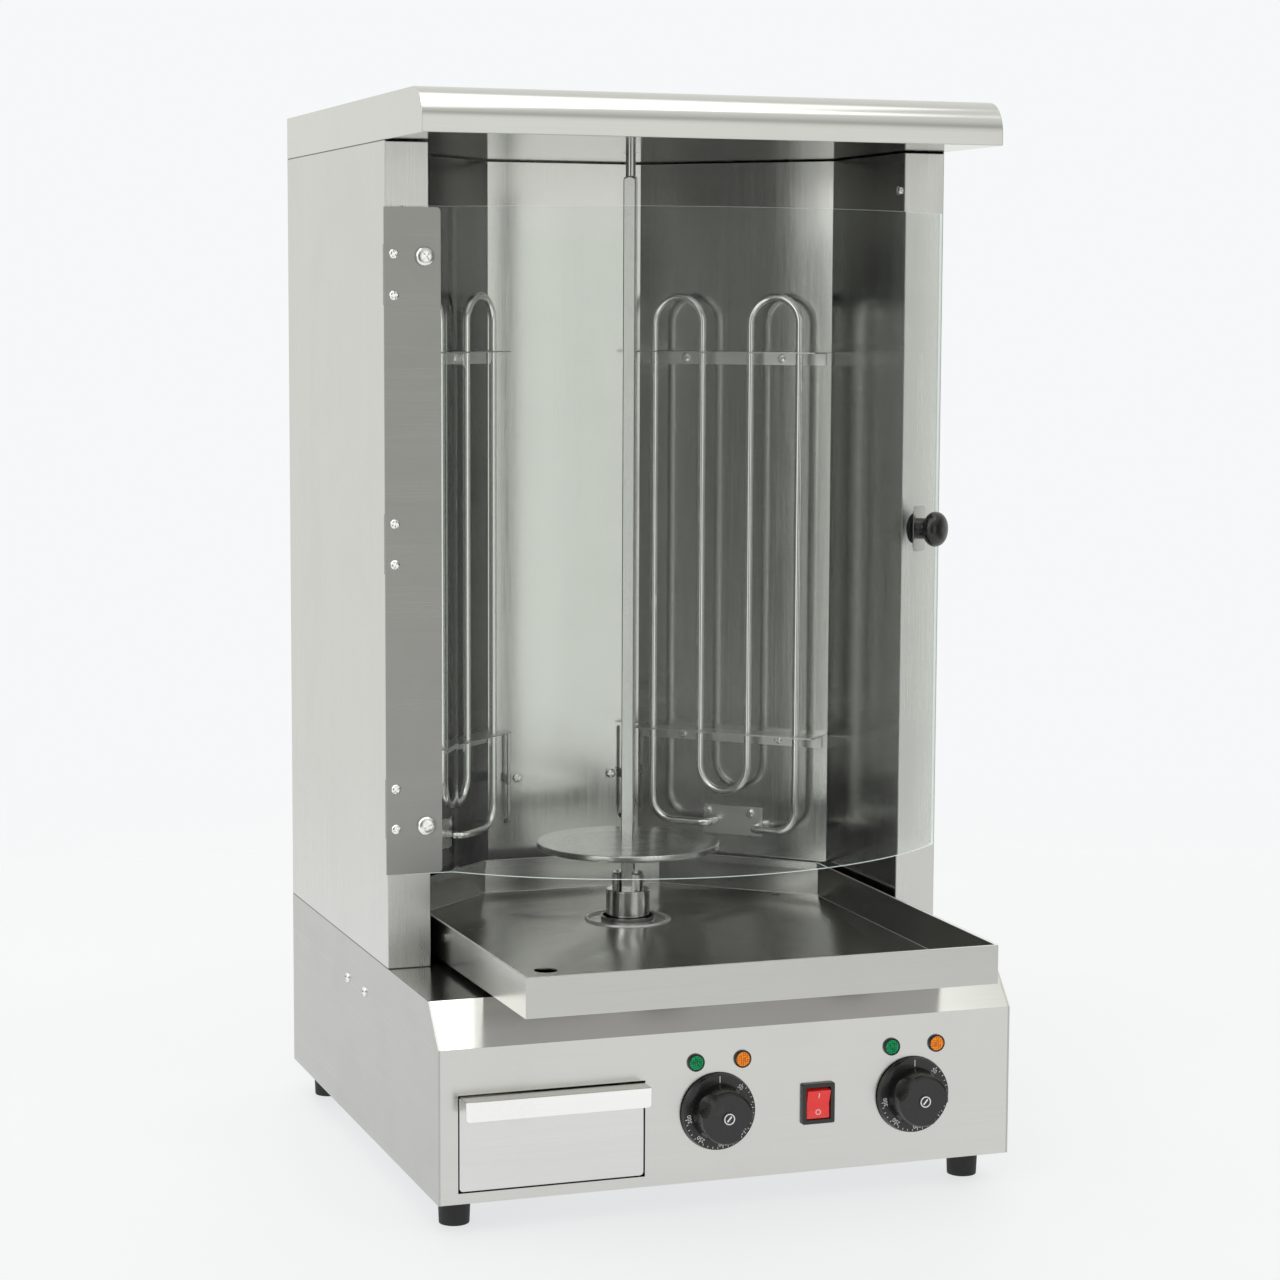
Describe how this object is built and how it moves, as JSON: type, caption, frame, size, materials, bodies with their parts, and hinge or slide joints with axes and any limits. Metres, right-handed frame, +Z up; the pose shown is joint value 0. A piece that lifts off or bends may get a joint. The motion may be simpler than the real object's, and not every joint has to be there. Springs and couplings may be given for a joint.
{
  "type": "vertical_spit_grill",
  "caption": "Countertop upright spit grill: steel cabinet with two rear heaters, turning spit, curved glass door, lift-out drip tray, fat drawer, two dials, lamps and a rocker switch.",
  "frame": {"origin": "on the floor under the feet, at the centre of the overall footprint (tray front to cable gland)", "axes": "+X to the right seen from the front, +Y to the back, +Z up; the controls and the door face -Y"},
  "size_m": [0.4648, 0.552, 0.837],
  "materials": {
    "brushed_stainless": "brushed",
    "chamber_stainless": "satin",
    "mirror_stainless": "mirror",
    "tray_stainless": "bright rolled",
    "hinge_stainless": "brushed",
    "galvanised_sheet": "matt",
    "zinc_screw": "plated",
    "chrome_screw": "polished",
    "polished_chrome": "polished",
    "polished_steel": "polished",
    "brass_bush": "turned",
    "motor_grey": "satin",
    "heater_sheath": "satin",
    "copper_bulb": "drawn",
    "black_rubber": "matt",
    "black_plastic": "satin",
    "white_plastic": "matt",
    "gland_plastic": "matt",
    "lamp_green": "faceted",
    "lamp_amber": "faceted",
    "switch_red": "gloss",
    "clear_glass": "clear"
  },
  "bodies": {
    "chassis": {"base_floor": "brushed_stainless", "base_side_left": "brushed_stainless", "base_side_right": "brushed_stainless", "front_panel": "brushed_stainless", "base_top_cover": "brushed_stainless", "base_back_panel": "brushed_stainless", "rubber_feet": "black_rubber", "foot_screws": "zinc_screw", "casing_screws": "zinc_screw", "ceiling_screws": "zinc_screw", "motor_bracket": "galvanised_sheet", "gear_motor": "motor_grey", "drawer_runners": "galvanised_sheet", "thermostats": "galvanised_sheet", "lamps_green": "lamp_green", "lamps_amber": "lamp_amber", "switch_housing": "black_plastic", "terminal_block": "white_plastic", "cable_gland": "gland_plastic", "housing_left": "brushed_stainless", "housing_right": "brushed_stainless", "housing_back": "brushed_stainless", "chamber_side_left": "chamber_stainless", "chamber_side_right": "chamber_stainless", "heater_panel_left": "chamber_stainless", "heater_panel_right": "chamber_stainless", "chamber_back_panel": "chamber_stainless", "ceiling_plate": "mirror_stainless", "roof_cap": "brushed_stainless", "spit_bearing": "brass_bush", "heaters": "heater_sheath", "heater_brackets": "chamber_stainless", "terminal_plates": "chamber_stainless", "chamber_screws": "zinc_screw", "thermostat_bulbs": "copper_bulb", "bulb_clips": "chamber_stainless", "hinge_leaves_frame": "zinc_screw", "hinge_pins": "zinc_screw"},
    "door": {"door_glass": "clear_glass", "hinge_plate": "hinge_stainless", "hinge_leaves_door": "zinc_screw", "hinge_screws": "chrome_screw", "glass_screws": "chrome_screw", "door_knob": "black_plastic", "knob_plate": "chrome_screw", "knob_washer": "black_rubber", "knob_screw": "zinc_screw"},
    "hub": {"motor_shaft": "polished_steel", "drive_hub": "polished_chrome"},
    "spit": {"spit": "polished_steel", "meat_plate": "polished_steel", "plate_pin": "polished_steel"},
    "tray": {"drip_tray": "tray_stainless"},
    "drawer": {"drawer_box": "tray_stainless", "drawer_front": "brushed_stainless"},
    "left_dial": {"dial_left": "black_plastic", "spindle_left": "zinc_screw"},
    "right_dial": {"dial_right": "black_plastic", "spindle_right": "zinc_screw"},
    "rocker": {"switch_rocker": "switch_red"}
  },
  "joints": [
    {"name": "door_swing", "type": "hinge", "parent": "chassis", "child": "door", "pos_m": [-0.23, -0.0654, 0.5], "axis": [0, 0, 1], "range_deg": [-110, 0]},
    {"name": "hub_spin", "type": "hinge", "parent": "chassis", "child": "hub", "pos_m": [0, 0.0375, 0.2], "axis": [0, 0, 1], "continuous": true},
    {"name": "spit_lift", "type": "slide", "parent": "hub", "child": "spit", "axis": [0, 0, 1], "range_m": [0, 0.018]},
    {"name": "tray_lift", "type": "slide", "parent": "chassis", "child": "tray", "axis": [0, 0, 1], "range_m": [0, 0.02]},
    {"name": "drawer_slide", "type": "slide", "parent": "chassis", "child": "drawer", "axis": [0, -1, 0], "range_m": [0, 0.2]},
    {"name": "left_dial_turn", "type": "hinge", "parent": "chassis", "child": "left_dial", "pos_m": [-0.0125, -0.2075, 0.0775], "axis": [0, 1, 0], "range_deg": [0, 300]},
    {"name": "right_dial_turn", "type": "hinge", "parent": "chassis", "child": "right_dial", "pos_m": [0.1475, -0.2075, 0.0775], "axis": [0, 1, 0], "range_deg": [0, 300]},
    {"name": "switch_rock", "type": "hinge", "parent": "chassis", "child": "rocker", "pos_m": [0.069, -0.203, 0.077], "axis": [1, 0, 0], "range_deg": [-14, 0]}
  ]
}
